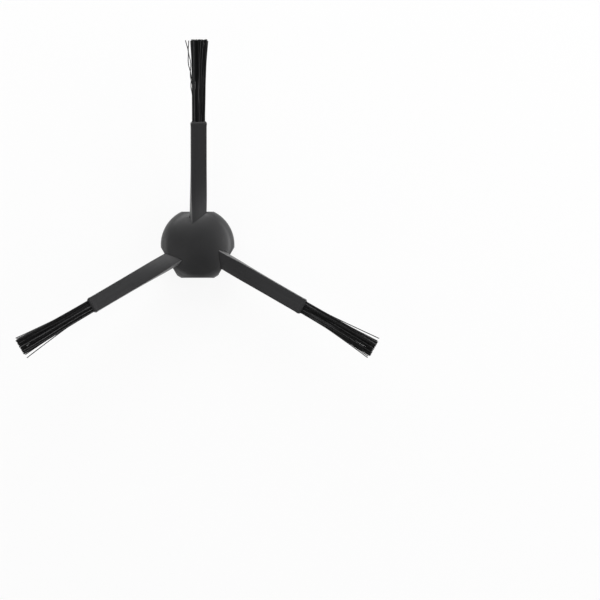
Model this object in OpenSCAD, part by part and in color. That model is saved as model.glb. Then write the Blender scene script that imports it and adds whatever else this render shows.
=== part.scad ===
// Side brush of a robot vacuum. A domed press-on hub carries three soft arms, pitched like blades,
// and each arm ends in a flat tuft of bristles.
// Z is the axis that the brush turns on. It stands on its base ring at z = 0 with the dome up,
// and its first arm points along +Y. All lengths are in millimetres.

/* [Hub] */
// Diameter of the hub over its lobes
hub_d = 29.4; // [28.6:0.1:32]
// Height at which the rolled edge of the dome starts
skirt_h = 4.6; // [4.2:0.1:5]
// Radius of the rolled edge between the skirt and the crown
roll_r = 5; // [4.4:0.1:5.6]
// Height of the crown above the rolled edge
crown_h = 2.2; // [1.6:0.1:3]
// Wall thickness of the cap
cap_wall = 1.5; // [1.3:0.1:1.7]
// Depth of the hub's flats below its circle: one for each arm and one to grip it by
flat_depth = 1.5; // [1.1:0.1:1.9]

/* [Base] */
// Height of the lip that shows under the cap
lip_h = 1.2; // [0.9:0.1:1.5]
// Wall of the spigot that stands inside the cap
spigot_wall = 1.3; // [1:0.1:1.6]
// Depth of the hollow under the base
hollow_h = 2.2; // [1.8:0.1:2.4]
// Thickness of the floor above that hollow
floor_t = 1.4; // [1.1:0.1:1.6]
// Thickness of the ribs under the floor
rib_t = 1; // [0.8:0.1:1.4]
// Number of ribs under the floor
rib_count = 6; // [3:1:8]

/* [Drive socket] */
// Bore that the drive shaft of the vacuum enters
bore_d = 6; // [5.4:0.1:6.4]
// Depth of the bore
bore_depth = 6.4; // [5.8:0.1:6.8]
// Width of the two keyways that turn the brush
key_w = 1.6; // [1.2:0.1:1.8]
// Depth of a keyway beyond the bore
key_depth = 0.7; // [0.5:0.1:0.9]
// Wall round the bore
collar_wall = 1.6; // [1.4:0.1:1.8]
// Thickness of a snap finger
finger_t = 1; // [0.8:0.1:1.2]
// Width of a snap finger
finger_w = 3; // [2.4:0.1:3.4]

/* [Arms] */
// Distance from the axis to the end of an arm, seen along the axis
arm_reach = 49; // [44:0.1:56]
// Width of an arm
arm_w = 6.4; // [6:0.1:6.7]
// Extra width of an arm on its raised side at the hub
root_extra_w = 0.4; // [0:0.1:0.5]
// Thickness of an arm
arm_t = 2.1; // [2:0.1:2.3]
// Angle by which an arm rises towards the dome side
arm_rise = 12; // [9:0.5:14]
// Height of an arm's low edge above the rim of the dome
arm_lift = 0.5; // [0.2:0.1:0.7]
// Angle by which the trailing edge of an arm is raised at the hub
pitch_root = 28.5; // [26:0.5:31]
// Angle by which it is still raised from the end of the twist to the tip
pitch_tip = 4; // [0:0.5:8]
// Length of the taper at the mouth of an arm
mouth_taper = 0.9; // [0.5:0.1:1.3]
// Distance from the axis at which the twist of an arm ends
twist_end_r = 28; // [24:0.5:32]
// Sideways offset of an arm from the line through the axis
arm_shift = 0.45; // [0.2:0.05:0.7]

/* [Bristles] */
// Length of the bristles beyond their arm, seen along the axis
bristle_reach = 32.5; // [28:0.5:38]
// Rubber at each side of a tuft in its arm
sleeve_side = 0.6; // [0.4:0.05:0.7]
// Rubber above and below a tuft in its arm
sleeve_skin = 0.5; // [0.4:0.05:0.55]
// Width of a tuft at its tips
fan_w = 6.6; // [6:0.1:7.6]
// Thickness of a tuft at its tips
fan_t = 2.2; // [1.8:0.1:2.6]
// Diameter of a bristle
bristle_d = 0.24; // [0.2:0.01:0.26]
// Bristles across the width of a tuft
bristle_cols = 14; // [8:1:15]
// Bristles through the thickness of a tuft
bristle_rows = 4; // [2:1:4]
// Depth to which a tuft is held in its arm
grip_depth = 15; // [12:0.5:18]

/* [Fit] */
// Clearance between pieces that seat in each other
seat_gap = 0.1; // [0.05:0.05:0.15]
// Clearance round an arm in its slot through the cap
slot_gap = 0.15; // [0.1:0.05:0.25]

/* [Hidden] */
$fn = 96;

// Directions of the flats of the arms and of the grip flat, seen from above
ARM_ANGLES = [90, 210, 330];
GRIP_ANGLE = 270;
// Angle by which each soft arm lies aside from its flat
ARM_SPLAY = [0, 0.5, 0];

// Overrun of a cut past the face that it opens
cut = hub_d / 50;

// The dome is a crown of large radius and a rolled edge of roll_r, which meet at a tangent
hub_r = hub_d / 2;
roll_centre_r = hub_r - roll_r;
hub_h = skirt_h + roll_r + crown_h;
crown_drop = (pow(roll_centre_r, 2) - pow(crown_h, 2)) / (2 * crown_h);
crown_z = skirt_h - crown_drop;
crown_r = hub_h - crown_z;
tangent_angle = atan(roll_centre_r / crown_drop);
roll_steps = 12;
crown_steps = 10;

// Height of the dome's rolled edge at a radius
function roll_height(r) = skirt_h + sqrt(pow(roll_r, 2) - pow(r - roll_centre_r, 2));

// Distance from the axis to the flats
flat_r = hub_r - flat_depth;

// The base: spigot inside the cap, floor, and the collar round the bore
spigot_inset = cap_wall + seat_gap;
floor_top = hollow_h + floor_t;
spigot_top = floor_top + spigot_wall / 2;
collar_r = bore_d / 2 + collar_wall;
rib_rise = hollow_h / 4;
finger_relief = finger_t / 4;
finger_top = hub_h - cap_wall - finger_t;
hook_h = finger_t;
hook_reach = finger_t / 3;

// An arm's line crosses the axis at arm_axis_z, set by the low edge of its top face,
// which leaves the hub arm_lift above the rim of the dome
low_edge_side = arm_shift + arm_w / 2 * cos(pitch_root) + arm_t / 2 * sin(pitch_root);
low_edge_drop = arm_w / 2 * sin(pitch_root) - arm_t / 2 * cos(pitch_root);
arm_exit_z = roll_height(norm([flat_r, low_edge_side])) + low_edge_drop + arm_lift;
arm_axis_z = arm_exit_z - flat_r * tan(arm_rise);
edge_r = arm_t / 6;
mouth_share = 0.7;
mouth_inset_w = mouth_share * (sleeve_side - seat_gap);
mouth_inset_t = mouth_share * (sleeve_skin - seat_gap);
edge_steps = 2;
root_flare = arm_t / 5;
flare_len = arm_t / 2;
twist_steps = 10;

// The foot that anchors an arm in the base: an upright block behind two cheeks
foot_in_r = collar_r + collar_wall;
foot_t = arm_t;
foot_w = arm_w + arm_t / 2;
cheek_t = spigot_wall;
cradle_out_r = foot_in_r + foot_t + cheek_t;
cradle_w = foot_w + 2 * cheek_t;
foot_mid_r = foot_in_r + foot_t / 2;
foot_base_z = floor_top + seat_gap;
foot_top_z = arm_axis_z + foot_mid_r * tan(arm_rise);
cradle_top = foot_top_z - arm_t / 2;

// A tuft: a fused core in the arm with a thicker bead at its root, and bristles that fan out
tip_r = arm_reach + bristle_reach;
tuft_w = arm_w - 2 * sleeve_side;
tuft_t = arm_t - 2 * sleeve_skin;
core_end_share = 0.985;
bead_w = tuft_w + 2 * seat_gap;
bead_t = tuft_t + 2 * seat_gap;
bead_len = tuft_t;

// Lean of each tuft towards its low edge at the tips, as shares of the fan's width
lean_shares = [0.045, 0.02, 0.06];
// Stray bristles at the sides of each tuft: their place through its thickness, signed like the side
// that they leave, and how far beyond the fan they end, as shares of the fan's size
stray_shares = [
    [[0.5, 0.12], [0.1, 0.26], [-0.3, 0.05]],
    [[0.5, 0.18], [0.1, 0.07], [-0.3, 0.12]],
    [[0.3, 0.14], [-0.5, 0.17], [-0.1, 0.07]]
];
// Unevenness of the bristle tips, as a share of the free length
ragged_share = 0.012;

// Plan outline of the hub: a circle with its flats
module hub_outline(inset) {
    difference() {
        circle(r = hub_r - inset);
        for (a = concat(ARM_ANGLES, GRIP_ANGLE))
            rotate(a)
                translate([flat_r - inset, -hub_r])
                    square([hub_d, hub_d]);
    }
}

// Half profile of the dome, drawn inset by the wall for the cavity: skirt, rolled edge, then crown
module dome_profile(inset, foot_z) {
    roll_sweep = 90 - tangent_angle;
    polygon([
        [0, foot_z],
        [hub_r - inset, foot_z],
        for (i = [0:roll_steps])
            let (a = roll_sweep * i / roll_steps)
            [roll_centre_r + (roll_r - inset) * cos(a), skirt_h + (roll_r - inset) * sin(a)],
        for (i = [1:crown_steps])
            let (a = roll_sweep + tangent_angle * i / crown_steps)
            [i == crown_steps ? 0 : (crown_r - inset) * cos(a), crown_z + (crown_r - inset) * sin(a)]
    ]);
}

module dome_solid(inset, foot_z) {
    intersection() {
        rotate_extrude()
            dome_profile(inset, foot_z);
        translate([0, 0, foot_z])
            linear_extrude(hub_h - foot_z)
                hub_outline(inset);
    }
}

function arm_angle(k) = ARM_ANGLES[k] + ARM_SPLAY[k];

// Puts its children in the frame of an arm: +X runs out along the arm, +Y is its raised edge
module in_arm_frame(k) {
    rotate(arm_angle(k))
        translate([0, -arm_shift, arm_axis_z])
            rotate([0, -arm_rise, 0])
                children();
}

// The straight stretch of an arm at the hub, grown by a gap, for the slot that it passes through
module arm_slot(k) {
    from = foot_in_r;
    to = flat_r / cos(arm_rise) + arm_w;
    in_arm_frame(k)
        rotate([pitch_root, 0, 0])
            translate([from, -arm_w / 2 - slot_gap, -arm_t / 2 - slot_gap])
                cube([to - from, arm_w + root_extra_w + 2 * slot_gap, arm_t + 2 * slot_gap]);
}

// The upright foot of an arm, grown by a gap for its seat in the base
module arm_foot(k, gap) {
    rotate(arm_angle(k))
        translate([foot_in_r - gap, -arm_shift - foot_w / 2 - gap, foot_base_z - gap])
            cube([foot_t + 2 * gap, foot_w + 2 * gap, foot_top_z - foot_base_z + 2 * gap]);
}

module dome_cap() {
    color("#2f3032")
        difference() {
            dome_solid(0, lip_h);
            dome_solid(cap_wall, lip_h - cut);
            for (k = [0:2])
                arm_slot(k);
        }
}

// The bore and the two keyways beside it
module drive_bore() {
    translate([0, 0, -cut])
        cylinder(d = bore_d, h = bore_depth + 2 * cut);
    rotate(GRIP_ANGLE)
        translate([-bore_d / 2 - key_depth, -key_w / 2, -cut])
            cube([bore_d + 2 * key_depth, key_w, bore_depth + 2 * cut]);
}

// Two fingers stand on the collar, clear of the bore, and hook into the groove of the shaft
module snap_fingers() {
    inner_r = bore_d / 2 + finger_relief;
    intersection() {
        difference() {
            translate([0, 0, bore_depth - finger_relief])
                cylinder(r = inner_r + finger_t, h = finger_top - bore_depth + finger_relief);
            translate([0, 0, bore_depth - cut])
                cylinder(r = inner_r, h = finger_top - bore_depth + cut - hook_h);
            cylinder(r = bore_d / 2 - hook_reach, h = hub_h);
        }
        translate([-hub_r, -finger_w / 2, 0])
            cube([hub_d, finger_w, hub_h]);
    }
}

module base_ribs() {
    for (i = [0:rib_count - 1])
        rotate(GRIP_ANGLE + i * 360 / rib_count)
            translate([collar_r - cut, -rib_t / 2, rib_rise])
                cube([hub_r, rib_t, floor_top - rib_rise - cut]);
}

// Blocks that the feet of the arms are sunk in; behind a foot the block stops below the snap fingers
module arm_cradles() {
    back_top = bore_depth - finger_relief;
    for (k = [0:2])
        rotate(arm_angle(k))
            translate([0, -arm_shift - cradle_w / 2, floor_top - cut]) {
                translate([collar_r - cut, 0, 0])
                    cube([cradle_out_r - collar_r + cut, cradle_w, back_top - floor_top + cut]);
                translate([foot_in_r - seat_gap, 0, 0])
                    cube([cradle_out_r - foot_in_r + seat_gap, cradle_w, cradle_top - floor_top + cut]);
            }
}

module drive_base() {
    color("#232426")
        difference() {
            union() {
                difference() {
                    union() {
                        linear_extrude(lip_h)
                            hub_outline(0);
                        linear_extrude(spigot_top)
                            hub_outline(spigot_inset);
                    }
                    translate([0, 0, -cut])
                        linear_extrude(hollow_h + cut)
                            hub_outline(spigot_inset + spigot_wall);
                    translate([0, 0, floor_top])
                        linear_extrude(hub_h)
                            hub_outline(spigot_inset + spigot_wall);
                }
                intersection() {
                    union() {
                        base_ribs();
                        arm_cradles();
                    }
                    dome_solid(spigot_inset, 0);
                }
                cylinder(r = collar_r, h = bore_depth);
                snap_fingers();
            }
            drive_bore();
            for (k = [0:2]) {
                arm_slot(k);
                arm_foot(k, seat_gap);
            }
        }
}

// Rounded rectangular section of an arm, as points across its width and through its thickness
function section_points(w, t) = [
    for (corner = [0:3])
        for (i = [0:edge_steps])
            let (
                a = 90 * (corner + i / edge_steps),
                across = corner == 0 || corner == 3 ? 1 : -1,
                through = corner < 2 ? 1 : -1
            )
            [across * (w / 2 - edge_r) + edge_r * cos(a), through * (t / 2 - edge_r) + edge_r * sin(a)]
];

// One ring of an arm, turned by its pitch: station is [distance, width, thickness, pitch, extra],
// where extra is the width added on the raised side
function ring_points(station) = [
    for (p = section_points(station[1] + station[4], station[2]))
        let (
            a = station[3],
            across = p[0] + station[4] / 2
        )
        [station[0], across * cos(a) - p[1] * sin(a), across * sin(a) + p[1] * cos(a)]
];

// The pitch eases from root to tip along a half wave
function pitch_at(share) = pitch_tip + (pitch_root - pitch_tip) * (1 + cos(180 * share)) / 2;

module swept_bar(stations) {
    n = 4 * (edge_steps + 1);
    last = len(stations) - 1;
    points = [for (s = stations) each ring_points(s)];
    sides = [
        for (i = [0:last - 1])
            for (j = [0:n - 1])
                let (
                    a = i * n + j,
                    b = i * n + (j + 1) % n
                )
                each [[a, a + n, b + n], [a, b + n, b]]
    ];
    polyhedron(
        points = points,
        faces = concat([[for (j = [0:n - 1]) j]], sides, [[for (j = [n - 1:-1:0]) last * n + j]]),
        convexity = 4
    );
}

// Cavity in an arm for the core of its tuft, and the core itself with a gap of zero
module tuft_core(k, gap, end_s) {
    arm_end_s = arm_reach / cos(arm_rise);
    root_s = arm_end_s - grip_depth;
    in_arm_frame(k)
        rotate([pitch_tip, 0, 0]) {
            translate([root_s, -tuft_w / 2 - gap, -tuft_t / 2 - gap])
                cube([end_s - root_s, tuft_w + 2 * gap, tuft_t + 2 * gap]);
            translate([root_s - gap, -bead_w / 2 - gap, -bead_t / 2 - gap])
                cube([bead_len + 2 * gap, bead_w + 2 * gap, bead_t + 2 * gap]);
        }
}

module arm(k) {
    flat_s = flat_r / cos(arm_rise) + low_edge_drop * tan(arm_rise) + slot_gap;
    twist_s = twist_end_r / cos(arm_rise);
    end_s = arm_reach / cos(arm_rise);
    start_s = foot_mid_r;
    flare_s = flat_s + flare_len;
    stations = [
        [start_s, arm_w, arm_t, pitch_root, root_extra_w],
        [flat_s, arm_w, arm_t, pitch_root, root_extra_w],
        [flat_s, arm_w + 2 * root_flare, arm_t + root_flare, pitch_root, root_extra_w],
        [flat_s + flare_len / 3, arm_w + root_flare, arm_t + root_flare / 2, pitch_root, root_extra_w],
        for (i = [0:twist_steps])
            let (share = i / twist_steps)
            [flare_s + (twist_s - flare_s) * share, arm_w, arm_t, pitch_at(share), root_extra_w * pow(1 - share, 2)],
        [end_s - mouth_taper, arm_w, arm_t, pitch_tip, 0],
        [end_s, arm_w - 2 * mouth_inset_w, arm_t - 2 * mouth_inset_t, pitch_tip, 0]
    ];
    color("#3a3b3d")
        difference() {
            union() {
                in_arm_frame(k)
                    swept_bar(stations);
                arm_foot(k, 0);
            }
            tuft_core(k, seat_gap, end_s + cut);
        }
}

// One bristle: a thin six-sided strand between two points of the arm frame
module strand(from, to) {
    v = to - from;
    translate(from)
        rotate([0, acos(v[2] / norm(v)), atan2(v[1], v[0])])
            cylinder(d = bristle_d, h = norm(v), $fn = 6);
}

module tuft(k) {
    end_s = arm_reach / cos(arm_rise);
    tip_s = tip_r / cos(arm_rise);
    core_s = end_s * core_end_share;
    root_s = core_s - bristle_d;
    lean = lean_shares[k] * fan_w;
    root_w = tuft_w - 4 * bristle_d;
    root_t = tuft_t - bristle_d;
    color("#151516") {
        tuft_core(k, 0, core_s);
        in_arm_frame(k)
            rotate([pitch_tip, 0, 0]) {
                for (i = [0:bristle_cols - 1])
                    for (j = [0:bristle_rows - 1]) {
                        across = i / (bristle_cols - 1) - 0.5;
                        through = j / (bristle_rows - 1) - 0.5;
                        short = ragged_share * (tip_s - end_s) * (1 + sin(360 * (0.37 * i + 0.61 * j)));
                        strand(
                            [root_s, across * root_w, through * root_t],
                            [tip_s - short, across * fan_w - lean, through * fan_t]
                        );
                    }
                for (stray = stray_shares[k]) {
                    side = sign(stray[0]);
                    strand(
                        [root_s, side * (tuft_w - bristle_d) / 2, stray[0] * root_t],
                        [tip_s, side * (0.5 + stray[1]) * fan_w - lean, stray[0] * fan_t]
                    );
                }
            }
    }
}

dome_cap();
drive_base();
arm(0);  // arm_1
arm(1);  // arm_2
arm(2);  // arm_3
tuft(0);  // tuft_1
tuft(1);  // tuft_2
tuft(2);  // tuft_3
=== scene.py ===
# %% [markdown]
# # A robot vacuum side brush
#
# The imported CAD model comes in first, as a frame that nothing here moves. It holds eight pieces:
# a domed cap, a base, three arms and three tufts of bristles. Each gets its finished surface in
# the same place and at the same size. Lengths are written in millimetres times MM, because
# Blender counts in metres. X points right in the picture, Y up the first arm, and Z at the eye.

import bmesh
import bpy
import numpy as np
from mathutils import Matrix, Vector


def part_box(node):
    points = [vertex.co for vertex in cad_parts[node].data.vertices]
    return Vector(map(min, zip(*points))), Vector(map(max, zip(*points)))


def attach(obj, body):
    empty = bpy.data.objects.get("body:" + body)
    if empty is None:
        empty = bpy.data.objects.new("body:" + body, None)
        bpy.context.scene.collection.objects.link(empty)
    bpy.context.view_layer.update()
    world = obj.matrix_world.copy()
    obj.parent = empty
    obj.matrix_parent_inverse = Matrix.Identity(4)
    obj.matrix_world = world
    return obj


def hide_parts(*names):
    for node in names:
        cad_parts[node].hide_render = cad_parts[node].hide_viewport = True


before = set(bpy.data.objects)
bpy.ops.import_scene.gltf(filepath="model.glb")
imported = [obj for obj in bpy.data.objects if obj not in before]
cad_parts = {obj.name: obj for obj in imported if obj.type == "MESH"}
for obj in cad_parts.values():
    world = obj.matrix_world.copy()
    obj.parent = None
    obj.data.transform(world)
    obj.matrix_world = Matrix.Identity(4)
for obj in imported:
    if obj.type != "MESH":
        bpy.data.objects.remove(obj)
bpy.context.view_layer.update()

MM = 0.001
rng = np.random.default_rng(11)

for node in sorted(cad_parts):
    low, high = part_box(node)
    print(node, "spans", [round((b - a) / MM, 1) for a, b in zip(low, high)], "mm")

# %% [markdown]
# ## Two helpers for surfaces
#
# Nearly every piece here is a row of closed rings, like a stack of hoops carried along a path:
# the cap's rings widen down its dome, an arm's rings are its section, and a bristle's rings are
# tiny hexagons. One function joins such rings with four-sided faces and closes both ends. It
# works on whole arrays, so even thousands of rings take no loop over points.

# %% Join rings of points into a closed mesh
def ring_faces(rings, points):
    """Four-sided faces between neighbouring rings, and triangles from each end ring to a centre
    point. Ring r holds the points r * points onwards, and the two centres come after all rings."""
    row, column = np.mgrid[0 : rings - 1, 0:points]
    right = (column + 1) % points
    here, above = row * points, (row + 1) * points
    quads = np.stack([here + column, above + column, above + right, here + right], axis=-1)
    around = np.arange(points)
    after = (around + 1) % points
    last = (rings - 1) * points
    start_fan = np.stack([np.full(points, rings * points), around, after], axis=-1)
    end_fan = np.stack([np.full(points, rings * points + 1), last + after, last + around], axis=-1)
    return quads.reshape(-1, 4), np.concatenate([start_fan, end_fan])


def new_piece(name, points, quads, triangles):
    """A mesh object from arrays. A face's corners are one stretch of the loop list, so the four-
    sided faces come first and the triangles follow."""
    corners = np.concatenate([quads.ravel(), triangles.ravel()])
    starts = np.concatenate([np.arange(len(quads)) * 4, len(quads) * 4 + np.arange(len(triangles)) * 3])
    mesh = bpy.data.meshes.new(name)
    mesh.vertices.add(len(points))
    mesh.vertices.foreach_set("co", points.ravel())
    mesh.loops.add(len(corners))
    mesh.loops.foreach_set("vertex_index", corners.astype(np.int32))
    mesh.polygons.add(len(starts))
    mesh.polygons.foreach_set("loop_start", starts.astype(np.int32))
    mesh.update(calc_edges=True)
    piece = bpy.data.objects.new(name, mesh)
    bpy.context.scene.collection.objects.link(piece)
    return piece


def loft(name, rings):
    """A closed solid through rings, an array of (ring, point, 3). Its faces point outwards: the
    sign of the enclosed volume, a sixth of the sum of a . (b x c), tells whether to turn them."""
    count, points, _ = rings.shape
    flat = np.concatenate([rings.reshape(-1, 3), [rings[0].mean(axis=0), rings[-1].mean(axis=0)]])
    quads, triangles = ring_faces(count, points)
    halves = np.concatenate([quads[:, [0, 1, 2]], quads[:, [0, 2, 3]], triangles])
    a, b, c = (flat[halves[:, i]] for i in range(3))
    if np.einsum("ij,ij->i", a, np.cross(b, c)).sum() < 0:
        quads, triangles = quads[:, ::-1], triangles[:, ::-1]
    return new_piece(name, flat, quads, triangles)


# %% [markdown]
# A slot or pocket is cut with a Boolean, the way a mould's core leaves a hole. The exact solver
# is chosen because it copes with faces that nearly touch. The result is written back as a plain
# mesh, and the cutter is thrown away, so that only finished pieces are left in the file.

# %% Cut, join and shade
CREASE_DEG = 40


def carve(piece, tool, operation="DIFFERENCE"):
    """Applies one exact Boolean of a tool to a piece, and removes the tool."""
    cut = piece.modifiers.new("carve", "BOOLEAN")
    cut.operation = operation
    cut.solver = "EXACT"
    cut.object = tool
    carved = bpy.data.meshes.new_from_object(piece.evaluated_get(bpy.context.evaluated_depsgraph_get()))
    piece.modifiers.clear()
    piece.data = carved
    carved.name = piece.name
    bpy.data.objects.remove(tool)


def shade(piece, crease_deg=CREASE_DEG):
    """Smooth shading, with a crease wherever two faces meet at more than crease_deg."""
    piece.data.polygons.foreach_set("use_smooth", np.ones(len(piece.data.polygons), dtype=bool))
    piece.data.set_sharp_from_angle(angle=np.radians(crease_deg))


def stand_for(piece, finish, node):
    """The piece gets its finish, takes the place of a CAD node, which is hidden, and rides on the
    brush's one body."""
    piece.data.materials.clear()
    piece.data.materials.append(finish)
    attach(piece, "root")
    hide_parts(node)
    print(piece.name, "has", len(piece.data.polygons), "faces")


# %% [markdown]
# ## The hub's plan
#
# Seen from above, the hub is a circle with four flats: one where each arm leaves, and one more to
# grip it by. A moulded corner is never knife sharp, so the smallest of the circle and the flats is
# taken softly: raised to a high negative power and added, the nearest limit wins, and where two
# are equally near the corner comes out slightly rounded. A lower power rounds it more, as on the
# fourth flat.

# %% Sizes of the hub and its outline
HUB_R = 14.7 * MM
FLAT_R = 13.2 * MM
CAP_WALL = 1.5 * MM
ARM_ANGLES = np.radians([90, 210, 330])
GRIP_ANGLE = np.radians(270)
CORNER_POWER = 100
GRIP_CORNER_POWER = 34
LEAST_COS = 0.05


def flat_limit(theta, direction, distance):
    """How far a ray at theta runs before it meets the straight line at that distance from the
    axis, square to direction: the distance over the cosine of the angle between them. A ray that
    turns away from the line never meets it, so the cosine is kept at LEAST_COS or more."""
    return distance / np.maximum(np.cos(theta - direction), LEAST_COS)


def soft_minimum(limits, power):
    """The sum of the limits to the power of -power, brought back with the power of -1 / power."""
    return HUB_R * np.sum((np.array(limits) / HUB_R) ** -power, axis=0) ** (-1 / power)


def plan_radius(theta, inset):
    """The hub's circle and its three arm flats, and then the fourth flat, all inset."""
    round_hub = np.full_like(theta, HUB_R - inset)
    arm_flats = [flat_limit(theta, angle, FLAT_R - inset) for angle in ARM_ANGLES]
    grip_flat = flat_limit(theta, GRIP_ANGLE, FLAT_R - inset)
    with_arm_flats = soft_minimum([round_hub, *arm_flats], CORNER_POWER)
    return soft_minimum([with_arm_flats, grip_flat], GRIP_CORNER_POWER)


# %% [markdown]
# ## The dome
#
# From the side the cap is a shallow crown that rolls over into an upright skirt. Both are arcs
# that meet at a tangent, so the dome is laid out by arc length: a point at length s from the top
# is on the crown until the crown ends, and on the roll after that. Every column of the mesh then
# gets evenly spaced rows, wherever a flat cuts it short.

# %% The dome's profile by arc length
SKIRT_Z = 4.6 * MM
ROLL_R = 5.0 * MM
CAP_FOOT_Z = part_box("dome_cap")[0].z
CAP_TOP_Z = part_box("dome_cap")[1].z
ROLL_CENTRE_R = HUB_R - ROLL_R
CROWN_H = CAP_TOP_Z - SKIRT_Z - ROLL_R
CROWN_DROP = (ROLL_CENTRE_R**2 - CROWN_H**2) / (2 * CROWN_H)
CROWN_Z = SKIRT_Z - CROWN_DROP
CROWN_R = CAP_TOP_Z - CROWN_Z
TANGENT = np.arctan2(ROLL_CENTRE_R, CROWN_DROP)
print("crown radius", round(CROWN_R / MM, 2), "mm, tangent at", round(np.degrees(TANGENT), 1), "degrees")


def dome_length(radius, inset):
    """Arc length from the top of the dome to a radius: along the crown, then along the roll."""
    crown, roll = CROWN_R - inset, ROLL_R - inset
    on_crown = crown * np.arcsin(np.clip(radius / crown, 0, 1))
    turn = np.arcsin(np.clip((radius - ROLL_CENTRE_R) / roll, -1, 1))
    on_roll = crown * TANGENT + roll * (turn - TANGENT)
    return np.where(radius < crown * np.sin(TANGENT), on_crown, on_roll)


def dome_point(length, inset):
    """Radius and height at an arc length: (R sin a, R cos a) about the centre of its arc."""
    crown, roll = CROWN_R - inset, ROLL_R - inset
    on_crown = length < crown * TANGENT
    a = np.where(on_crown, length / crown, TANGENT + (length - crown * TANGENT) / roll)
    radius = np.where(on_crown, crown * np.sin(a), ROLL_CENTRE_R + roll * np.sin(a))
    height = np.where(on_crown, CROWN_Z + crown * np.cos(a), SKIRT_Z + roll * np.cos(a))
    return radius, height


# %% [markdown]
# Below the dome each column of the cap runs down the skirt, round the foot and up inside. Its
# corners are listed once for all columns, and a helper rounds each one: a quadratic curve leaves
# the corner a little before it and comes back a little after it, pulled towards the corner itself,
# which is what a mould's radius looks like. The edge above a flat has the largest radius, and it
# is what draws the soft light line there.

# %% Round the corners of a path
def rounded(corners, radii, steps):
    """A path of (corner, column, 2) with each inner corner replaced by the curve
    (1-t)^2 p + 2t(1-t) c + t^2 q, where p and q lie on the two sides at the given radius, or at
    under half of the side where that is shorter."""
    t = np.linspace(0, 1, steps)[:, None, None]
    path = [corners[:1]]
    for before, corner, after, radius in zip(corners[:-2], corners[1:-1], corners[2:], radii):
        reach_in = np.linalg.norm(before - corner, axis=-1, keepdims=True)
        reach_out = np.linalg.norm(after - corner, axis=-1, keepdims=True)
        cut = np.minimum(radius, 0.45 * np.minimum(reach_in, reach_out))
        p = corner + (before - corner) * cut / np.maximum(reach_in, 1e-9)
        q = corner + (after - corner) * cut / np.maximum(reach_out, 1e-9)
        path.append((1 - t) ** 2 * p + 2 * t * (1 - t) * corner + t**2 * q)
    path.append(corners[-1:])
    return np.concatenate(path)


# %% The cap
COLUMNS = 480
DOME_ROWS = 36
FIRST_ROW = 0.02
ROUND_STEPS = 9
EDGE_ROUND = 1.0 * MM
CAP_FOOT_ROUND = 0.2 * MM
theta = np.linspace(0, 2 * np.pi, COLUMNS, endpoint=False)


def cap_rings(theta):
    """The cap's surface as rings of (radius, height) for each angle theta: the dome from a small
    ring round its top, the skirt, the foot, the inner wall and the ceiling, back to the axis."""
    edge = plan_radius(theta, 0)
    inner = plan_radius(theta, CAP_WALL)
    full = dome_length(edge, 0)
    _, edge_z = dome_point(full, 0)
    share = np.linspace(FIRST_ROW, 1, DOME_ROWS)[:, None]
    dome = np.stack(dome_point(share * (full - EDGE_ROUND), 0), axis=-1)
    foot_z = np.full_like(theta, CAP_FOOT_Z)
    ceiling_full = dome_length(inner, CAP_WALL)
    _, inner_z = dome_point(ceiling_full, CAP_WALL)
    ceiling = np.stack(dome_point(share[::-2] * ceiling_full, CAP_WALL), axis=-1)
    corners = np.stack(
        [
            dome[-1],
            np.stack([edge, edge_z], axis=-1),
            np.stack([edge, foot_z], axis=-1),
            np.stack([inner, foot_z], axis=-1),
            np.stack([inner, inner_z], axis=-1),
        ]
    )
    wall = rounded(corners, [EDGE_ROUND, CAP_FOOT_ROUND, CAP_FOOT_ROUND], ROUND_STEPS)
    return np.concatenate([dome[:-1], wall[:-1], ceiling])


profile = cap_rings(theta)
radius, height = profile[..., 0], profile[..., 1]
cap = loft("cap", np.stack([radius * np.cos(theta), radius * np.sin(theta), height], axis=-1))
print("the cap runs from", round(height.max() / MM, 2), "down to", round(height.min() / MM, 2), "mm")

# %% [markdown]
# ## The arms
#
# An arm is a soft rectangular bar. It leaves the hub pitched like a propeller blade, turns to
# almost flat, quickly at first and then ever more slowly, rises a little towards the dome side,
# and ends in a rounded mouth round the bristles. At the hub it is a little wider on its raised
# side, and its upper face is slightly crowned, so that the light fades from its low edge to its
# raised one. All of that is one section carried along one line, with its width, thickness, pitch
# and crown given as functions of the distance along the arm.

# %% Sizes of an arm
ARM_REACH = 49.0 * MM
ARM_W = 6.4 * MM
ROOT_EXTRA_W = 0.4 * MM
ARM_T = 2.1 * MM
ARM_RISE = np.radians(12)
ARM_LIFT = 0.5 * MM
PITCH_ROOT = np.radians(28.5)
PITCH_TIP = np.radians(4)
TWIST_END_R = 34.0 * MM
ARM_SHIFT = 0.45 * MM
ARM_DIRECTIONS = ARM_ANGLES + np.radians([0, 0.5, 0])
SLOT_GAP = 0.15 * MM
SEAT_GAP = 0.1 * MM
SIDE_ROUND = 0.35 * MM
ARM_CROWN = 0.36 * MM
BULGE = 0.09 * MM
BULGE_LEN = 1.4 * MM
MOUTH_LEN = 0.75 * MM
MOUTH_INSET_W = 0.4 * MM
MOUTH_INSET_T = 0.36 * MM

GRIP_DEPTH = 15.0 * MM
TUFT_W = 5.2 * MM
TUFT_T = 1.1 * MM
BEAD_GROWTH = 0.2 * MM
POCKET_EDGE = 0.1 * MM
POCKET_ROUND = 0.28 * MM
CHAMBER_LEN = 1.2 * MM
CHAMBER_ROOM = 0.2 * MM

FOOT_IN_R = 6.2 * MM
FOOT_T = 2.1 * MM
FOOT_W = 7.45 * MM
FOOT_EDGE = 0.2 * MM
FOOT_CORNER = 0.3 * MM
FOOT_BASE_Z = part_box("arm_1")[0].z

# %% [markdown]
# The height at which an arm's line crosses the axis follows from the hub. Where the arm leaves its
# flat, the low edge of its upper face lies ARM_LIFT above the roll of the dome, and from there the
# line is followed back down its rise.

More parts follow.
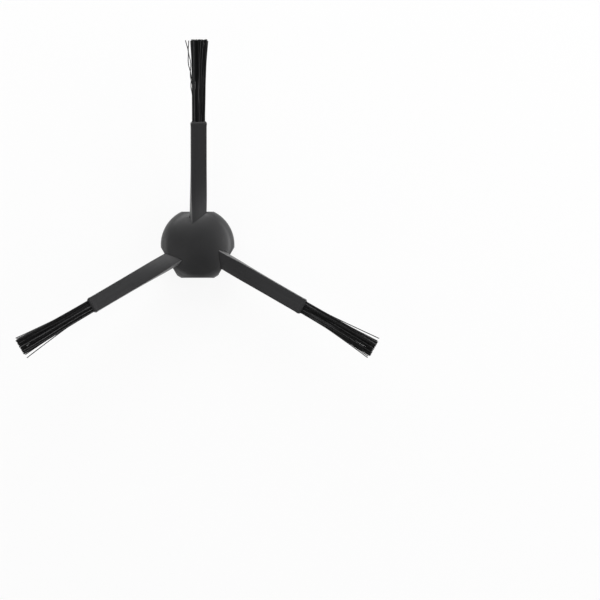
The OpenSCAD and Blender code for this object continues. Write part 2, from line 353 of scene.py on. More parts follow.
# %% Where an arm's line starts, and how long it is
low_side = ARM_SHIFT + ARM_W / 2 * np.cos(PITCH_ROOT) + ARM_T / 2 * np.sin(PITCH_ROOT)
low_drop = ARM_W / 2 * np.sin(PITCH_ROOT) - ARM_T / 2 * np.cos(PITCH_ROOT)
exit_r = np.hypot(FLAT_R, low_side)
ARM_AXIS_Z = (
    SKIRT_Z
    + np.sqrt(ROLL_R**2 - (exit_r - ROLL_CENTRE_R) ** 2)
    + low_drop
    + ARM_LIFT
    - FLAT_R * np.tan(ARM_RISE)
)
END_S = ARM_REACH / np.cos(ARM_RISE)
FLAT_S = FLAT_R / np.cos(ARM_RISE) + low_drop * np.tan(ARM_RISE) + SLOT_GAP
TWIST_S = TWIST_END_R / np.cos(ARM_RISE)
FOOT_MID_R = FOOT_IN_R + FOOT_T / 2
FOOT_TOP_Z = ARM_AXIS_Z + FOOT_MID_R * np.tan(ARM_RISE)
MOUTH_S = END_S - MOUTH_LEN
TUFT_ROOT_S = END_S - GRIP_DEPTH
print("an arm's line crosses the axis", round(ARM_AXIS_Z / MM, 2), "mm up")
print("from there it is", round(END_S / MM, 1), "mm long")


# %% From the arm's own directions to the brush's, and back
def place(points, k):
    """Turns points from arm k's frame, where x runs out along the arm and y to its raised edge,
    into the brush's: a rise about y, a sideways and upward shift, then a turn about z."""
    x = points[..., 0] * np.cos(ARM_RISE) - points[..., 2] * np.sin(ARM_RISE)
    z = points[..., 0] * np.sin(ARM_RISE) + points[..., 2] * np.cos(ARM_RISE) + ARM_AXIS_Z
    y = points[..., 1] - ARM_SHIFT
    c, s = np.cos(ARM_DIRECTIONS[k]), np.sin(ARM_DIRECTIONS[k])
    return np.stack([x * c - y * s, x * s + y * c, z], axis=-1)


def unplace(points, k):
    """The way back from the brush's frame to arm k's: the turn, the shift and the rise undone."""
    c, s = np.cos(ARM_DIRECTIONS[k]), np.sin(ARM_DIRECTIONS[k])
    x = points[:, 0] * c + points[:, 1] * s
    y = points[:, 1] * c - points[:, 0] * s + ARM_SHIFT
    z = points[:, 2] - ARM_AXIS_Z
    along = x * np.cos(ARM_RISE) + z * np.sin(ARM_RISE)
    return along, y, z * np.cos(ARM_RISE) - x * np.sin(ARM_RISE)


# %% [markdown]
# A section has rounded corners. If its long sides had no points of their own, smooth shading would
# spread a corner's turn over a whole face and make it look swollen. So one more point holds each
# side straight next to each corner, and a few more lie across the upper face to carry its crown.

# %% A section of a bar, and its sweep
CORNER_STEPS = 6
FLAT_HOLD = 0.12 * MM
TOP_POINTS = 7


def section(width, thickness, round_r):
    """Points round a rectangle with rounded corners, for arrays of widths and thicknesses: each
    corner's centre plus round_r times (cos a, sin a) over its quarter turn. One more point lies
    FLAT_HOLD out on each straight side, and TOP_POINTS lie across the upper face."""
    turn = np.concatenate([[0], np.linspace(0, 1, CORNER_STEPS + 1), [1]])
    hold = np.concatenate([[-FLAT_HOLD], np.zeros(CORNER_STEPS + 1), [FLAT_HOLD]])
    a = np.radians(90) * (np.arange(4)[:, None] + turn[None, :]).ravel()
    hold = np.tile(hold, 4)
    side = np.repeat([1, -1, -1, 1], len(turn))
    face = np.repeat([1, 1, -1, -1], len(turn))
    centre_across = side * (width[:, None] / 2 - round_r[:, None])
    centre_through = face * (thickness[:, None] / 2 - round_r[:, None])
    across = centre_across + round_r[:, None] * np.cos(a) - hold * np.sin(a)
    through = centre_through + round_r[:, None] * np.sin(a) + hold * np.cos(a)
    top = len(turn)
    share = np.linspace(0, 1, TOP_POINTS + 2)[1:-1]
    across_top = across[:, top - 1 : top] * (1 - share) + across[:, top : top + 1] * share
    through_top = np.repeat(through[:, top - 1 : top], TOP_POINTS, axis=1)
    across = np.concatenate([across[:, :top], across_top, across[:, top:]], axis=1)
    through = np.concatenate([through[:, :top], through_top, through[:, top:]], axis=1)
    return across, through


def sweep(stations, width, thickness, pitch, round_r, extra=0, crown=0):
    """Rings of a bar in the arm frame. Each station's section has its upper face lifted by crown
    times 1 - x^2, gets its extra width on the raised side, and is turned by its pitch about x:
    (y cos p - z sin p, y sin p + z cos p)."""
    across, through = section(width + extra, thickness, round_r)
    half = ((width + extra) / 2 - round_r)[:, None]
    lift = np.where(through > 0, np.clip(1 - (across / half) ** 2, 0, 1), 0)
    through = through + lift * (crown + np.zeros_like(width))[:, None]
    across = across + (extra + np.zeros_like(width))[:, None] / 2
    c, s = np.cos(pitch)[:, None], np.sin(pitch)[:, None]
    x = np.repeat(stations[:, None], across.shape[1], axis=1)
    return np.stack([x, across * c - through * s, across * s + through * c], axis=-1)


# %% How an arm changes along its line
def arm_stations():
    """Distances along an arm, closer together on the bulge and the mouth. Each stretch ends where
    the next starts, and the doubled distances are dropped."""
    marks = [FOOT_MID_R, FLAT_S, TWIST_S, MOUTH_S - BULGE_LEN, MOUTH_S, END_S]
    counts = [8, 40, 16, 9, 9]
    stretches = [np.linspace(a, b, n) for a, b, n in zip(marks[:-1], marks[1:], counts)]
    return np.unique(np.concatenate(stretches))


def arm_size(s):
    """Growth of the section over the plain bar, in width and in thickness: a slight bulge shaped
    like a cosine bell where the tuft stretches the mouth, and the rounded mouth itself, which
    falls away as x^1.5."""
    bulge = BULGE * (1 + np.cos(np.pi * np.clip((s - MOUTH_S) / BULGE_LEN, -1, 1))) / 2
    mouth = np.clip((s - MOUTH_S) / MOUTH_LEN, 0, 1) ** 1.5
    wider = 2 * bulge - 2 * (MOUTH_INSET_W + BULGE / 2) * mouth
    return wider, bulge - 2 * MOUTH_INSET_T * mouth


def twist_left(s):
    """1 up to the hub's flat, then (1 - x)^2 of the way to the end of the twist, and 0 past it."""
    return (1 - np.clip((s - FLAT_S) / (TWIST_S - FLAT_S), 0, 1)) ** 2


def arm_pitch(s):
    """The pitch stays at PITCH_ROOT in the hub and goes to PITCH_TIP as the twist runs out."""
    return PITCH_TIP + (PITCH_ROOT - PITCH_TIP) * twist_left(s)


def arm_extra(s):
    """The extra width on the raised side fades with the twist."""
    return ROOT_EXTRA_W * twist_left(s)


def arm_crown(s):
    """The crown of the upper face is whole in the hub and fades evenly along the twist."""
    return ARM_CROWN * twist_left(s) ** 0.5


def arm_rings():
    """The outside of the bar from the foot to the mouth, then over the mouth's rim and back
    inside, down to the end of the pocket that holds the tuft."""
    s = arm_stations()
    wider, thicker = arm_size(s)
    outside = sweep(
        s,
        ARM_W + wider,
        ARM_T + thicker,
        arm_pitch(s),
        np.full_like(s, SIDE_ROUND),
        extra=arm_extra(s),
        crown=arm_crown(s),
    )
    chamber_s = TUFT_ROOT_S + CHAMBER_LEN
    pocket_s = np.array(
        [
            END_S,
            END_S - POCKET_EDGE,
            chamber_s + POCKET_EDGE,
            chamber_s,
            TUFT_ROOT_S - CHAMBER_ROOM,
        ]
    )
    growth = np.array([0.2, 0, 0, 1, 1]) * BEAD_GROWTH + 2 * SEAT_GAP
    inside = sweep(
        pocket_s,
        TUFT_W + growth,
        TUFT_T + growth,
        np.full_like(pocket_s, PITCH_TIP),
        np.full_like(pocket_s, POCKET_ROUND),
    )
    return np.concatenate([outside, inside])


# %% [markdown]
# Inside the hub each arm has an upright foot that sits in the base, so that the arm can't be
# pulled out through its slot. It isn't seen from outside, but the piece should be whole, so the
# foot is joined on with a Boolean. After that no grid is left to give an arm its coordinates, so
# they are worked out from the places of its points.

# %% The three arms
WALL_EDGE = 0.95 * SIDE_ROUND
WALL_FADE = 0.8 * SIDE_ROUND


def foot_rings(k):
    """An upright block with rounded edges, in the brush's directions."""
    z = np.array([FOOT_BASE_Z, FOOT_BASE_Z + FOOT_EDGE, FOOT_TOP_Z - FOOT_EDGE, FOOT_TOP_Z])
    inset = np.array([1, 0, 0, 1]) * FOOT_EDGE
    x, y = section(FOOT_T - 2 * inset, FOOT_W - 2 * inset, np.full_like(z, FOOT_CORNER))
    x, y = x + FOOT_MID_R, y - ARM_SHIFT
    c, s = np.cos(ARM_DIRECTIONS[k]), np.sin(ARM_DIRECTIONS[k])
    z = np.repeat(z[:, None], x.shape[1], axis=1)
    return np.stack([x * c - y * s, x * s + y * c, z], axis=-1)


def arm_coordinates(piece, k):
    """A UV map in metres for the rubber's flow lines, u along the arm and v across it, and a value
    on the points that is 1 on the raised side wall and fades round its edges: there
    y cos p + z sin p, the place across the section, reaches half of its width."""
    points = np.empty(len(piece.data.vertices) * 3)
    piece.data.vertices.foreach_get("co", points)
    along, y, z = unplace(points.reshape(-1, 3), k)
    corner = np.empty(len(piece.data.loops), dtype=np.int32)
    piece.data.loops.foreach_get("vertex_index", corner)
    uv = piece.data.uv_layers.new(name="along")
    uv.data.foreach_set("uv", np.stack([along[corner], y[corner]], axis=-1).ravel())
    pitch = arm_pitch(along)
    across = y * np.cos(pitch) + z * np.sin(pitch)
    wider, _ = arm_size(along)
    inside = (ARM_W + wider) / 2 + arm_extra(along) - across
    # This value paints the raised side wall paler in the rubber, as a painted reflection.
    wall = np.clip((WALL_EDGE - inside) / WALL_FADE, 0, 1)
    side = piece.data.attributes.new("side_wall", "FLOAT", "POINT")
    side.data.foreach_set("value", wall.astype(np.float32))


arms = []
for k in range(3):
    piece = loft(f"arm_piece_{k + 1}", place(arm_rings(), k))
    carve(piece, loft("foot", foot_rings(k)), "UNION")
    arm_coordinates(piece, k)
    shade(piece)
    arms.append(piece)

# %% [markdown]
# The slots in the cap are the arm's own section, grown by a running gap and carried straight
# through the wall. They are cut now, because they need the arm's frame.

# %% Slots in the cap
CAP_CREASE_DEG = 32

for k in range(3):
    s = np.array([FOOT_IN_R, FLAT_S + ARM_W])
    same = np.ones_like(s)
    slot_rings = sweep(
        s,
        (ARM_W + 2 * SLOT_GAP) * same,
        (ARM_T + 2 * SLOT_GAP) * same,
        PITCH_ROOT * same,
        (SIDE_ROUND + SLOT_GAP) * same,
        extra=ROOT_EXTRA_W,
        crown=ARM_CROWN,
    )
    carve(cap, loft("slot_tool", place(slot_rings, k)))
shade(cap, CAP_CREASE_DEG)
print("the cap now has", len(cap.data.polygons), "faces")

# %% [markdown]
# ## The base
#
# The base is all flat walls, ribs and a keyed socket, and the CAD solid already has them. What it
# lacks is the small radius on each edge that catches the light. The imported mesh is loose
# triangles, so a copy is merged and its flat faces are made whole, and then a Bevel rounds
# every edge of more than 40 degrees.

# %% The base from a merged copy
MERGE_DISTANCE = 0.001 * MM
FLAT_WITHIN_DEG = 0.5
BASE_BEVEL = 0.12 * MM


def merged_copy(node, name):
    """A copy of a CAD node with its doubled points joined and its flat regions made single."""
    work = bmesh.new()
    work.from_mesh(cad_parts[node].data)
    bmesh.ops.remove_doubles(work, verts=work.verts, dist=MERGE_DISTANCE)
    flat_within = np.radians(FLAT_WITHIN_DEG)
    bmesh.ops.dissolve_limit(
        work, angle_limit=flat_within, verts=work.verts, edges=work.edges, delimit={"NORMAL"}
    )
    mesh = bpy.data.meshes.new(name)
    work.to_mesh(mesh)
    work.free()
    piece = bpy.data.objects.new(name, mesh)
    bpy.context.scene.collection.objects.link(piece)
    return piece


base = merged_copy("drive_base", "base")
bevel = base.modifiers.new("edge", "BEVEL")
bevel.width = BASE_BEVEL
bevel.segments = 2
bevel.limit_method = "ANGLE"
bevel.angle_limit = np.radians(CREASE_DEG)
bevel.harden_normals = True
shade(base)

# %% [markdown]
# ## The tufts
#
# A tuft is about a hundred and fifty nylon filaments, fused to a core that the arm grips. They
# leave the mouth side by side and spread towards the tips, which are trimmed nearly square. Real
# filaments never lie quite parallel: they cling together in small clumps, which part near the
# tips, and each one bows a little and wanders across its neighbours. That is what makes the fine
# light lines and the chinks of white in a black tuft. All filaments of a tuft are one array of
# (strand, ring, side, 3).

# %% Filaments
SWEEP_R = 81.5 * MM
TIP_S = SWEEP_R / np.cos(ARM_RISE)
FREE_LEN = TIP_S - END_S
CORE_SUNK = 0.75 * MM
CORE_END_S = END_S - CORE_SUNK
CORE_ROUND = 0.245 * MM
BEAD_LEN = 1.1 * MM
BEAD_EDGE = 0.05 * MM
FILAMENT_R = 0.105 * MM
FILAMENT_START_S = CORE_END_S - 2 * FILAMENT_R
FILAMENT_SIDES = 6
FILAMENT_RINGS = 11
FILAMENTS_ACROSS = 24
FILAMENTS_THROUGH = 6
FAN_W = 6.6 * MM
FAN_T = 2.2 * MM
FAN_POWER = 1.8
LEAN = np.array([0.3, 0.13, 0.4]) * MM


def fan_share(u):
    """How far the tuft has opened at a share u of its free length: slowly at first, as
    u^FAN_POWER."""
    return u**FAN_POWER


def filament_lines(root, tip, short, bow, wave):
    """Centre lines in the arm's flat frame, as (strand, ring, 3). Each goes from root to tip
    through the opening fan, bows sideways as sin(pi u) and waves as sin(2 pi u)."""
    u = np.linspace(0, 1, FILAMENT_RINGS)[None, :]
    x = FILAMENT_START_S + (TIP_S - short[:, None] - FILAMENT_START_S) * u
    free = np.clip((x - END_S) / FREE_LEN, 0, 1)
    opened = fan_share(free)[..., None]
    bowed = np.sin(np.pi * free)[..., None] * bow[:, None, :]
    waved = np.sin(2 * np.pi * free)[..., None] * wave[:, None, :]
    across = root[:, None, :] + (tip - root)[:, None, :] * opened + (bowed + waved)
    return np.concatenate([x[..., None], across], axis=-1)


def filament_rings(lines, radius):
    """Six-sided rings round each centre line, square to x, which the lines hardly leave."""
    a = np.arange(FILAMENT_SIDES) * 2 * np.pi / FILAMENT_SIDES
    ring = np.stack([np.zeros_like(a), np.cos(a), np.sin(a)], axis=-1) * radius
    return lines[:, :, None, :] + ring


def pitched(points):
    """Turns points about x by the pitch that the arm has at its mouth."""
    c, s = np.cos(PITCH_TIP), np.sin(PITCH_TIP)
    y, z = points[..., 1], points[..., 2]
    return np.stack([points[..., 0], y * c - z * s, y * s + z * c], axis=-1)


# %% [markdown]
# A few filaments stand off at the sides of each tuft, as the photograph shows: two twist round
# each other beside the first tuft, and the others spring straight out. Each is given by the side
# that it leaves, the share of the free length where it starts to leave, how many millimetres
# outside the fan it ends, and the height of its wave. They are a little thicker than the rest,
# because what looks like one stray is often two filaments that cling together.

# %% Strays
STRAY_R = 0.18 * MM
STRAY_RINGS = 30
STRAY_SHORT = 0.4 * MM
STRAY_POWER = 1.1
STRAY_WAVE_RAD = 14
STRAYS = [
    [(1, 0.34, 2.1, 0.28), (1, 0.34, 1.35, -0.28), (1, 0.7, 0.35, 0), (-1, 0.72, 0.3, 0)],
    [(1, 0.36, 1.85, 0), (1, 0.6, 0.45, 0), (-1, 0.45, 0.95, 0), (-1, 0.6, 0.4, 0)],
    [(1, 0.3, 1.55, 0), (1, 0.6, 0.4, 0), (-1, 0.34, 1.15, 0), (-1, 0.5, 0.5, 0)],
]


def stray_lines(k):
    """Centre lines of a tuft's strays. Each keeps to the edge of the fan until its own start, and
    then moves out as x^STRAY_POWER of the rest of the way, with a sine on top."""
    side, leave, reach, wave = (np.array(column)[:, None] for column in zip(*STRAYS[k]))
    u = np.linspace(0, 1, STRAY_RINGS)[None, :]
    x = FILAMENT_START_S + (TIP_S - STRAY_SHORT - FILAMENT_START_S) * u * np.ones_like(side)
    free = np.clip((x - END_S) / FREE_LEN, 0, 1)
    opened = fan_share(free)
    out = np.clip((free - leave) / (1 - leave), 0, 1)
    edge = TUFT_W / 2 - STRAY_R + (FAN_W - TUFT_W) / 2 * opened
    moved = edge + reach * MM * out**STRAY_POWER
    y = side * moved - LEAN[k] * opened + wave * MM * np.sin(STRAY_WAVE_RAD * out)
    height = np.linspace(-0.5, 0.5, len(side))[:, None]
    z = height * (TUFT_T - 2 * STRAY_R + (FAN_T - TUFT_T) * opened) + 0 * y
    return np.stack([x, y, z], axis=-1)


# %% [markdown]
# How far the filaments stray from their even grid is drawn at random. At the root and in the bows
# and waves the spreads are in millimetres. At the tips they are shares of the fan. Where two are
# given, the first is across the tuft and the second through it. A bow and a wave each have a part
# that a whole clump shares and a part of the filament's own, and both calm down towards the
# tuft's edges.

# %% The core and the filaments of a tuft
CLUMP_ACROSS = 3
CLUMP_THROUGH = 3
CLUMP_DRAW = 0.16
ROOT_SPREAD = [0.03, 0.09]
CLUMP_SPREAD = [0.018, 0.08]
TIP_SPREAD = 0.025
TIP_UNEVEN = 0.35 * MM
BOW_SPREAD = (0.22, 0.1)
WAVE_SPREAD = (0.16, 0.08)
EDGE_CALM = 1.6


def tuft_core():
    """The fused core of the filaments, with the bead that keeps it in the arm."""
    bead_end = TUFT_ROOT_S + BEAD_LEN
    s = np.array([TUFT_ROOT_S, TUFT_ROOT_S + BEAD_EDGE, bead_end - BEAD_EDGE, bead_end, CORE_END_S])
    growth = np.array([0.9, 1, 1, 0, 0]) * BEAD_GROWTH
    flat = np.zeros_like(s)
    return sweep(s, TUFT_W + growth, TUFT_T + growth, flat, np.full_like(s, CORE_ROUND))


def sideways(clump, clumps, spreads):
    """Random sideways lengths: a share drawn once for each clump, plus one for each filament."""
    of_clump, of_one = spreads
    shared = rng.normal(0, of_clump, (clumps, 2))[clump]
    return (shared + rng.normal(0, of_one, (len(clump), 2))) * MM


def tuft_lines(k):
    """Centre lines of the filaments of tuft k: a staggered grid at the mouth, a little disturbed,
    and opened to the fan at the tips. There each filament is drawn by CLUMP_DRAW towards its
    clump's middle, which has itself wandered a little."""
    i, j = np.meshgrid(np.arange(FILAMENTS_ACROSS), np.arange(FILAMENTS_THROUGH), indexing="ij")
    i, j = i.ravel(), j.ravel()
    count = len(i)
    across = (i + 0.5 * (j % 2)) / (FILAMENTS_ACROSS - 0.5) - 0.5
    through = j / (FILAMENTS_THROUGH - 1) - 0.5
    root_span = np.array([TUFT_W, TUFT_T]) - 2.2 * FILAMENT_R
    grid = np.stack([across, through], axis=-1)
    half = root_span / 2
    root = np.clip(grid * root_span + rng.normal(0, ROOT_SPREAD, (count, 2)) * MM, -half, half)
    clump = i // CLUMP_ACROSS * FILAMENTS_THROUGH + j // CLUMP_THROUGH
    members = np.maximum(np.bincount(clump), 1)
    middle = np.stack([np.bincount(clump, weights=column) / members for column in grid.T], axis=-1)
    middle = middle + rng.normal(0, CLUMP_SPREAD, middle.shape)
    tip_span = np.array([FAN_W, FAN_T]) - 2 * FILAMENT_R
    drawn = grid + CLUMP_DRAW * (middle[clump] - grid) + rng.normal(0, TIP_SPREAD, (count, 2))
    tip = np.clip(drawn, -0.5, 0.5) * tip_span - np.array([LEAN[k], 0])
    short = TIP_UNEVEN * rng.random(count) ** 2
    calm = 1 - EDGE_CALM * np.abs(grid)
    bow = sideways(clump, len(middle), BOW_SPREAD) * calm
    wave = sideways(clump, len(middle), WAVE_SPREAD) * calm
    return filament_lines(root, tip, short, bow, wave)


# %% The three tufts
STRAND_CREASE_DEG = 50


def strand_points(rings):
    """The points of (strand, ring, side, 3) with each strand's two end centres after its rings."""
    strands = rings.shape[0]
    flat = rings.reshape(strands, -1, 3)
    ends = np.stack([rings[:, 0].mean(axis=1), rings[:, -1].mean(axis=1)], axis=1)
    return np.concatenate([flat, ends], axis=1)


def tuft(name, k):
    """Core, filaments and strays of tuft k in one mesh, with a random value from 0 to 1 kept on the
    points of each strand, which the nylon's material turns into painted highlights on a few strands."""
    points, quads, triangles, tones = [], [], [], []
    count = 0
    groups = [
        tuft_core()[None],
        filament_rings(tuft_lines(k), FILAMENT_R),
        filament_rings(stray_lines(k), STRAY_R),
    ]
    for rings in groups:
        strands, ring_count, sides, _ = rings.shape
        block = strand_points(rings)
        q, t = ring_faces(ring_count, sides)
        shift = count + np.arange(strands)[:, None, None] * block.shape[1]
        quads.append((q[None] + shift).reshape(-1, 4))
        triangles.append((t[None] + shift).reshape(-1, 3))
        tones.append(np.repeat(rng.random(strands), block.shape[1]))
        points.append(block.reshape(-1, 3))
        count += strands * block.shape[1]
    placed = place(pitched(np.concatenate(points)), k)
    piece = new_piece(name, placed, np.concatenate(quads), np.concatenate(triangles))
    tone = piece.data.attributes.new("tone", "FLOAT", "POINT")
    tone.data.foreach_set("value", np.concatenate(tones).astype(np.float32))
    shade(piece, STRAND_CREASE_DEG)
    return piece


tufts = [tuft(f"tuft_piece_{k + 1}", k) for k in range(3)]
print("each tuft has", FILAMENTS_ACROSS * FILAMENTS_THROUGH, "filaments and", len(STRAYS[0]), "strays")

# %% [markdown]
# ## Finishes
#
# The cap and base are satin moulded plastic, the arms a softer, duller elastomer, and the
# bristles drawn nylon. All are charcoal to black, so most of what the eye sees is the reflection
# on them, and the roughness matters more than the colour. The plastics and the elastomer get a
# fine grain as bump, a slow variation of tone and a variation of roughness. The elastomer's raised
# side wall is painted paler, as a painted reflection. The nylon's tone changes at random from
# strand to strand, and the few pale strands are painted highlights. Scales of noise are in
# features per metre.

# %% Node helpers
NOISE_RANGE = (0.3, 0.7)
BUMP_STRENGTH = 0.5


def new_material(name):
    """A node material with its Principled shader, and the link and node shortcuts."""
    material = bpy.data.materials.new(name)
    material.use_nodes = True
    nodes = material.node_tree.nodes
    return material, nodes, material.node_tree.links, nodes["Principled BSDF"]


def noise(nodes, links, vector, scale, detail):
    """A noise texture that reads the given coordinates."""
    texture = nodes.new("ShaderNodeTexNoise")
    texture.inputs["Scale"].default_value = scale
    texture.inputs["Detail"].default_value = detail
    links.new(vector, texture.inputs["Vector"])
    return texture.outputs["Fac"]


def spread(nodes, links, value, low, high):
    """Maps NOISE_RANGE, where a noise mostly lies, to low to high."""
    remap = nodes.new("ShaderNodeMapRange")
    remap.inputs["From Min"].default_value = NOISE_RANGE[0]
    remap.inputs["From Max"].default_value = NOISE_RANGE[1]
    remap.inputs["To Min"].default_value = low
    remap.inputs["To Max"].default_value = high
    links.new(value, remap.inputs["Value"])
    return remap.outputs["Result"]


def two_tones(nodes, links, value, dark, light):
    """A colour between two, by a value from 0 to 1."""
    mix = nodes.new("ShaderNodeMix")
    mix.data_type = "RGBA"
    mix.inputs["A"].default_value = (*dark, 1)
    mix.inputs["B"].default_value = (*light, 1)
    links.new(value, mix.inputs["Factor"])
    return mix.outputs["Result"]


def grain_bump(nodes, links, shader, value, depth):
    """A bump of the given depth in metres on the shader's normal."""
    bump = nodes.new("ShaderNodeBump")
    bump.inputs["Strength"].default_value = BUMP_STRENGTH
    bump.inputs["Distance"].default_value = depth
    links.new(value, bump.inputs["Height"])
    links.new(bump.outputs["Normal"], shader.inputs["Normal"])


# %% Moulded plastic for the cap and the base
CLOUD_SCALE = 160
GRAIN_SCALE = 6500
GRAIN_DEPTH = 0.012 * MM


def moulded_plastic(name, dark, light, roughness):
    """Satin plastic: a grain of 0.15 mm from the spark-eroded mould, and slow cloudy tones."""
    material, nodes, links, shader = new_material(name)
    place_at = nodes.new("ShaderNodeTexCoord").outputs["Object"]
    clouds = noise(nodes, links, place_at, CLOUD_SCALE, 3)
    grain = noise(nodes, links, place_at, GRAIN_SCALE, 2)
    cloudy = two_tones(nodes, links, spread(nodes, links, clouds, 0, 1), dark, light)
    links.new(cloudy, shader.inputs["Base Color"])
    rough = spread(nodes, links, grain, roughness - 0.04, roughness + 0.05)
    links.new(rough, shader.inputs["Roughness"])
    grain_bump(nodes, links, shader, grain, GRAIN_DEPTH)
    return material


cap_finish = moulded_plastic(
    "satin_charcoal_plastic", dark=(0.017, 0.017, 0.018), light=(0.021, 0.021, 0.022), roughness=0.42
)
base_finish = moulded_plastic(
    "dark_grey_plastic", dark=(0.015, 0.015, 0.016), light=(0.019, 0.019, 0.02), roughness=0.45
)


# %% Soft rubber for the arms
FLOW_STRETCH = (25, 1000, 1)
FLOW_SCALE = 1.4
BLOOM_SCALE = 5000
BLOOM_DEPTH = 0.015 * MM


def soft_rubber(name, dark, light, roughness, wall_painted_reflection, wall_roughness):
    """Matt elastomer: flow lines along the arm on its UV map, stretched forty times, over a fine
    bloom on the surface. The raised side wall is given a lower roughness, and its colour is
    painted paler there: a painted reflection of the light that this wall catches."""
    material, nodes, links, shader = new_material(name)
    coordinates = nodes.new("ShaderNodeTexCoord")
    stretch = nodes.new("ShaderNodeMapping")
    stretch.inputs["Scale"].default_value = FLOW_STRETCH
    links.new(coordinates.outputs["UV"], stretch.inputs["Vector"])
    flow = noise(nodes, links, stretch.outputs["Vector"], FLOW_SCALE, 2)
    bloom = noise(nodes, links, coordinates.outputs["Object"], BLOOM_SCALE, 3)
    wall = nodes.new("ShaderNodeAttribute")
    wall.attribute_name = "side_wall"
    tone = nodes.new("ShaderNodeMix")
    tone.data_type = "RGBA"
    # Colour B is a painted reflection: it paints the raised side wall paler than the rest.
    tone.inputs["B"].default_value = (*wall_painted_reflection, 1)
    links.new(wall.outputs["Fac"], tone.inputs["Factor"])
    streaky = two_tones(nodes, links, spread(nodes, links, flow, 0, 1), dark, light)
    links.new(streaky, tone.inputs["A"])
    links.new(tone.outputs["Result"], shader.inputs["Base Color"])
    rough = nodes.new("ShaderNodeMix")
    rough.inputs["B"].default_value = wall_roughness
    links.new(wall.outputs["Fac"], rough.inputs["Factor"])
    links.new(spread(nodes, links, bloom, roughness - 0.05, roughness + 0.05), rough.inputs["A"])
    links.new(rough.outputs["Result"], shader.inputs["Roughness"])
    grain_bump(nodes, links, shader, bloom, BLOOM_DEPTH)
    return material


arm_finish = soft_rubber(
    "charcoal_elastomer",
    dark=(0.012, 0.012, 0.013),
    light=(0.017, 0.017, 0.018),
    roughness=0.65,
    # The wall's paler colour is a painted reflection of the light that the raised wall catches.
    wall_painted_reflection=(0.1, 0.1, 0.101),
    wall_roughness=0.28,
)


# %% Drawn nylon for the bristles
PAINTED_HIGHLIGHT_POWER = 8


def drawn_nylon(name, dark, light):
    """Satin black filament. Each strand's own random tone, raised to a high power, sets how dark it
    is, so that only a few are lighter: painted highlights, which draw pale lines in a tuft."""
    material, nodes, links, shader = new_material(name)
    tone = nodes.new("ShaderNodeAttribute")
    tone.attribute_name = "tone"
    few = nodes.new("ShaderNodeMath")
    few.operation = "POWER"
    few.inputs[1].default_value = PAINTED_HIGHLIGHT_POWER
    links.new(tone.outputs["Fac"], few.inputs[0])
    links.new(two_tones(nodes, links, few.outputs["Value"], dark, light), shader.inputs["Base Color"])
    shader.inputs["Roughness"].default_value = 0.4
    shader.inputs["Specular IOR Level"].default_value = 0.3
    return material


# The light colour paints a few strands pale, as painted highlights.
bristle_finish = drawn_nylon("black_nylon", dark=(0.0025, 0.0025, 0.0028), light=(0.13, 0.13, 0.133))

# %% Dress the pieces
stand_for(cap, cap_finish, "dome_cap")
stand_for(base, base_finish, "drive_base")
for k in range(3):
    stand_for(arms[k], arm_finish, f"arm_{k + 1}")
    stand_for(tufts[k], bristle_finish, f"tuft_{k + 1}")

# %% [markdown]
# ## The white ground and the light
#
# The brush is cut out on white. The floor is white for the camera through the Is Camera Ray
# switch, not through more light, and keeps a little of the brush's soft shadow. The light is that
# of a light tent: soft boxes stand low all round, strongest behind and on the right, and overhead
# it is dim. So the dome's centre stays dark and even, and its sides, which mirror the boxes, carry
# the light rims of the photograph.

# %% Floor
FLOOR_HALF = 10.0
FLOOR_Z = -0.05 * MM
FLOOR_TONE = (0.95, 0.95, 0.95, 1)
SHADOW_SHARE = 0.1


def white_floor(name):
    """White diffuse for the light that it throws back. The camera and glossy reflections see
    mostly plain white, with SHADOW_SHARE of the lit floor mixed in."""
    material, nodes, links, shader = new_material(name)
    nodes.remove(shader)
    output = nodes["Material Output"]
    lit = nodes.new("ShaderNodeBsdfDiffuse")
    lit.inputs["Color"].default_value = FLOOR_TONE
    white = nodes.new("ShaderNodeEmission")
    white.inputs["Strength"].default_value = 1
    path = nodes.new("ShaderNodeLightPath")
    seen = nodes.new("ShaderNodeMath")
    seen.operation = "MAXIMUM"
    share = nodes.new("ShaderNodeMath")
    share.operation = "MULTIPLY"
    share.inputs[1].default_value = 1 - SHADOW_SHARE
    mix = nodes.new("ShaderNodeMixShader")
    links.new(path.outputs["Is Camera Ray"], seen.inputs[0])
    links.new(path.outputs["Is Glossy Ray"], seen.inputs[1])
    links.new(seen.outputs["Value"], share.inputs[0])
    links.new(share.outputs["Value"], mix.inputs["Fac"])
    links.new(lit.outputs["BSDF"], mix.inputs[1])
    links.new(white.outputs["Emission"], mix.inputs[2])
    links.new(mix.outputs["Shader"], output.inputs["Surface"])
    return material


corner_signs = np.array([[-1, -1], [1, -1], [1, 1], [-1, 1]])
floor_corners = np.column_stack([corner_signs * FLOOR_HALF, np.full(4, FLOOR_Z)])
floor = new_piece("floor", floor_corners, np.array([[0, 1, 2, 3]]), np.zeros((0, 3), dtype=int))
floor.data.materials.append(white_floor("white_ground"))


# %% Surroundings
SKY_STOPS = [(0.8, 0.1), (1.0, 0.3)]


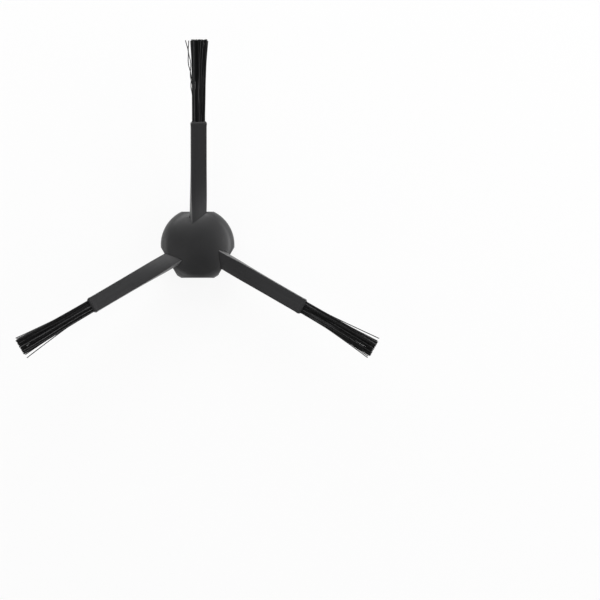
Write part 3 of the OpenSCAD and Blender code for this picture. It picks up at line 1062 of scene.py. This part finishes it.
def studio_world():
    """White for the camera. For light and reflections, a ramp on the height of the direction:
    dim all round, and a little brighter straight overhead."""
    world = bpy.data.worlds.new("studio")
    world.use_nodes = True
    bpy.context.scene.world = world
    nodes, links = world.node_tree.nodes, world.node_tree.links
    direction = nodes.new("ShaderNodeTexCoord").outputs["Generated"]
    parts = nodes.new("ShaderNodeSeparateXYZ")
    links.new(direction, parts.inputs["Vector"])
    ramp = nodes.new("ShaderNodeValToRGB")
    for element, (position, value) in zip(ramp.color_ramp.elements, SKY_STOPS):
        element.position = position
        element.color = (value, value, value, 1)
    links.new(parts.outputs["Z"], ramp.inputs["Fac"])
    soft = nodes["Background"]
    links.new(ramp.outputs["Color"], soft.inputs["Color"])
    soft.inputs["Strength"].default_value = 1
    white = nodes.new("ShaderNodeBackground")
    white.inputs["Color"].default_value = (1, 1, 1, 1)
    path = nodes.new("ShaderNodeLightPath")
    mix = nodes.new("ShaderNodeMixShader")
    links.new(path.outputs["Is Camera Ray"], mix.inputs["Fac"])
    links.new(soft.outputs["Background"], mix.inputs[1])
    links.new(white.outputs["Background"], mix.inputs[2])
    links.new(mix.outputs["Shader"], nodes["World Output"].inputs["Surface"])


studio_world()


# %% Lamps
BOX_DISTANCE = 0.9
BOX_SIZE = 0.45
SOFT_BOXES = [
    (0, 12, 2.65),
    (0, 28, 1.4),
    (30, 12, 1.45),
    (30, 28, 0.75),
    (90, 12, 4.0),
    (90, 28, 2.5),
    (120, 12, 1.55),
    (120, 28, 1.55),
    (180, 12, 1.6),
    (210, 48, 0.5),
    (240, 12, 1.35),
    (270, 12, 0.4),
    (300, 12, 0.4),
    (330, 28, 0.75),
]


def soft_box(azimuth_deg, elevation_deg, power):
    """A square area lamp aimed at the hub from a direction: degrees from +X towards +Y, degrees
    above the floor, and watts."""
    name = f"soft_box_{azimuth_deg}_{elevation_deg}"
    lamp = bpy.data.lights.new(name, "AREA")
    lamp.shape = "SQUARE"
    lamp.size = BOX_SIZE
    lamp.energy = power
    holder = bpy.data.objects.new(name, lamp)
    bpy.context.scene.collection.objects.link(holder)
    azimuth, elevation = np.radians([azimuth_deg, elevation_deg])
    holder.location = (
        BOX_DISTANCE * np.cos(elevation) * np.cos(azimuth),
        BOX_DISTANCE * np.cos(elevation) * np.sin(azimuth),
        BOX_DISTANCE * np.sin(elevation),
    )
    holder.rotation_euler = (-holder.location).to_track_quat("-Z", "Y").to_euler()


for box in SOFT_BOXES:
    soft_box(*box)

# %% [markdown]
# ## The camera
#
# The photograph looks straight down the hub's axis with a very long lens, and the brush sits left
# of the frame's centre and above it. So the camera stands over the frame's centre, without any
# shift of the lens, and so high that the hub's walls hardly show. HUB_PX is the hub's axis in the
# photograph, and MM_PER_PX its scale at the height SCALE_Z.

# %% Camera
SENSOR_WIDTH = 36
PHOTO_PX = 600
MM_PER_PX = 0.3982
HUB_PX = (197.5, 244.7)
CAMERA_HEIGHT = 8.0
SCALE_Z = 11.0 * MM

camera_data = bpy.data.cameras.new("camera")
camera = bpy.data.objects.new("camera", camera_data)
bpy.context.scene.collection.objects.link(camera)
bpy.context.scene.camera = camera
camera_data.sensor_width = SENSOR_WIDTH
camera_data.lens = SENSOR_WIDTH * (CAMERA_HEIGHT - SCALE_Z) / (PHOTO_PX * MM_PER_PX * MM)
camera.location = (
    (PHOTO_PX / 2 - HUB_PX[0]) * MM_PER_PX * MM,
    (HUB_PX[1] - PHOTO_PX / 2) * MM_PER_PX * MM,
    CAMERA_HEIGHT,
)
bpy.context.scene.view_settings.view_transform = "Standard"
print("the lens is", round(camera_data.lens), "mm long")

# %% Update the scene
bpy.context.view_layer.update()
